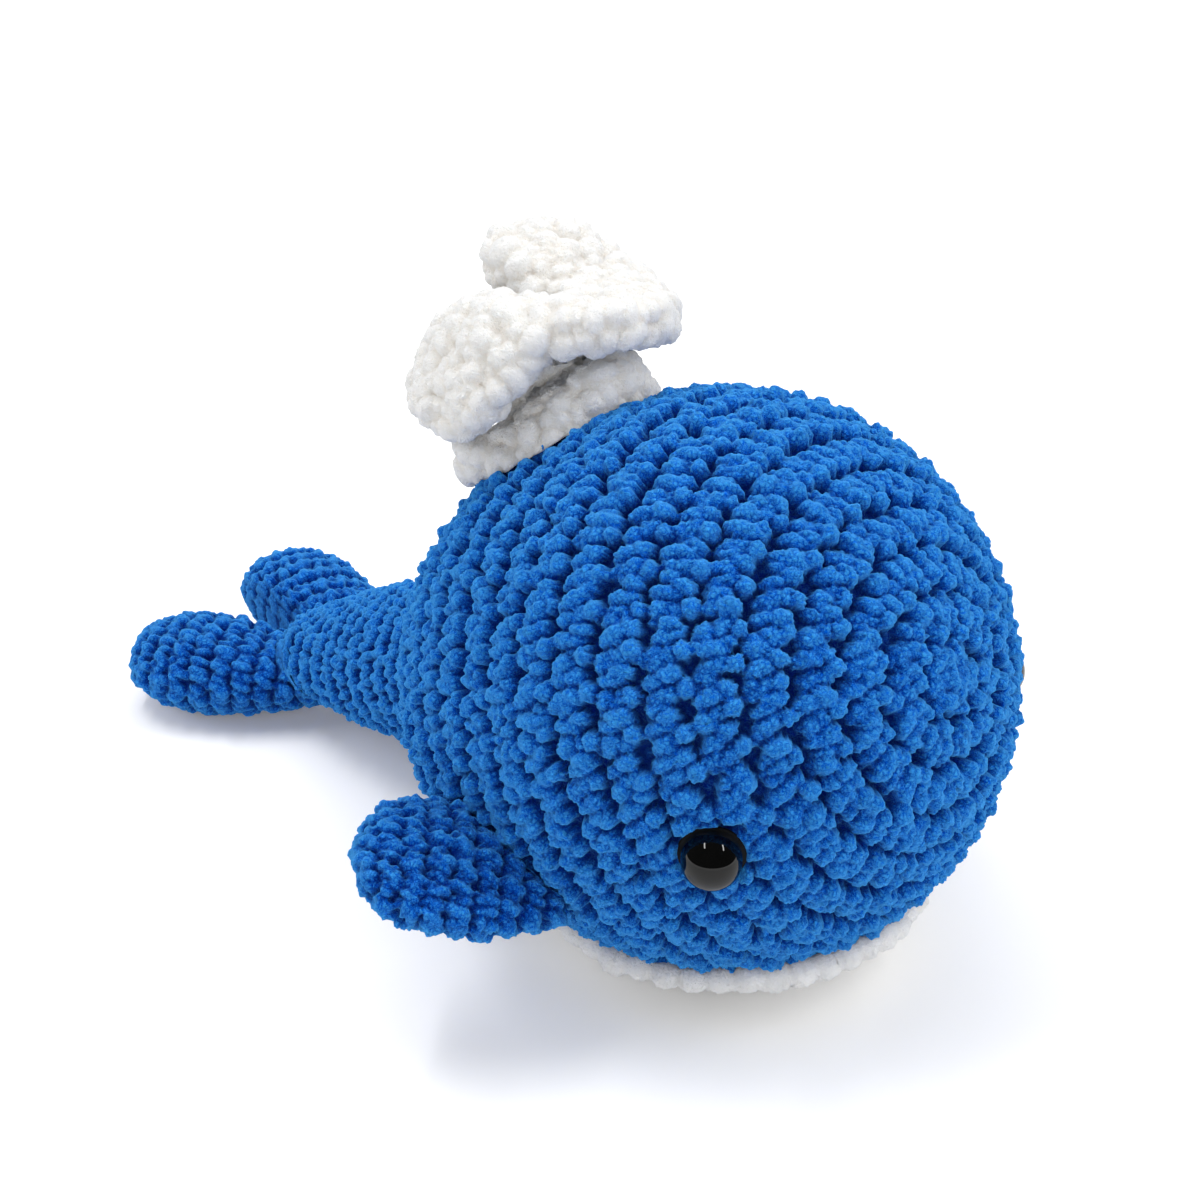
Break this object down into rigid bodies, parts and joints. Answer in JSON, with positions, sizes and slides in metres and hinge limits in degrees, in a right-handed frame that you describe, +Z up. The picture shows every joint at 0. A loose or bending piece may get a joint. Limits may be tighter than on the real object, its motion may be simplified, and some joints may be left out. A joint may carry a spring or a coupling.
{
  "type": "plush whale",
  "caption": "Round crocheted plush whale with tail stem and flukes, side fins, pale belly panel, curled water spout and domed safety eyes.",
  "frame": {"origin": "on the flat of the belly panel where the toy rests, under the middle of the round body", "axes": "+X towards the nose, +Y to the whale's left, +Z up"},
  "size_m": [0.2233, 0.16, 0.1313],
  "materials": {
    "blue_chenille": "matt velvety chenille yarn in single crochet, with a soft pale sheen at grazing angles",
    "white_chenille": "matt velvety chenille yarn in single crochet",
    "fibre_filling": "loose polyester fibre, hidden",
    "black_gloss": "polished",
    "washer_plastic": "plain moulded"
  },
  "bodies": {
    "body": {"body_cover": "blue_chenille", "body_filling": "fibre_filling", "belly_panel": "white_chenille", "right_eye": "black_gloss", "left_eye": "black_gloss", "right_eye_washer": "washer_plastic", "left_eye_washer": "washer_plastic"},
    "right_fin": {"right_fin_cover": "blue_chenille", "right_fin_filling": "fibre_filling"},
    "left_fin": {"left_fin_cover": "blue_chenille", "left_fin_filling": "fibre_filling"},
    "right_fluke": {"right_fluke_cover": "blue_chenille", "right_fluke_filling": "fibre_filling"},
    "left_fluke": {"left_fluke_cover": "blue_chenille", "left_fluke_filling": "fibre_filling"},
    "spout": {"spout": "white_chenille"}
  },
  "joints": [
    {"name": "right_fin_flap", "type": "hinge", "parent": "body", "child": "right_fin", "pos_m": [-0.00215, -0.05028, 0.0376], "axis": [-0.6896, 0.6803, 0.2482], "range_deg": [-10, 30], "stiffness_Nm_per_rad": 0.03},
    {"name": "left_fin_flap", "type": "hinge", "parent": "body", "child": "left_fin", "pos_m": [-0.00215, 0.05028, 0.0376], "axis": [0.6896, 0.6803, -0.2482], "range_deg": [-10, 30], "stiffness_Nm_per_rad": 0.03},
    {"name": "right_fluke_fold", "type": "hinge", "parent": "body", "child": "right_fluke", "pos_m": [-0.125, -0.0045, 0.01783], "axis": [-0.5075, 0.8616, 0], "range_deg": [0, 35], "stiffness_Nm_per_rad": 0.05},
    {"name": "left_fluke_fold", "type": "hinge", "parent": "body", "child": "left_fluke", "pos_m": [-0.125, 0.0105, 0.01783], "axis": [0.2419, 0.9703, 0], "range_deg": [0, 35], "stiffness_Nm_per_rad": 0.05},
    {"name": "spout_nod", "type": "hinge", "parent": "body", "child": "spout", "pos_m": [-0.04971, 0, 0.08243], "axis": [0, -1, 0], "range_deg": [0, 12], "stiffness_Nm_per_rad": 0.06}
  ]
}
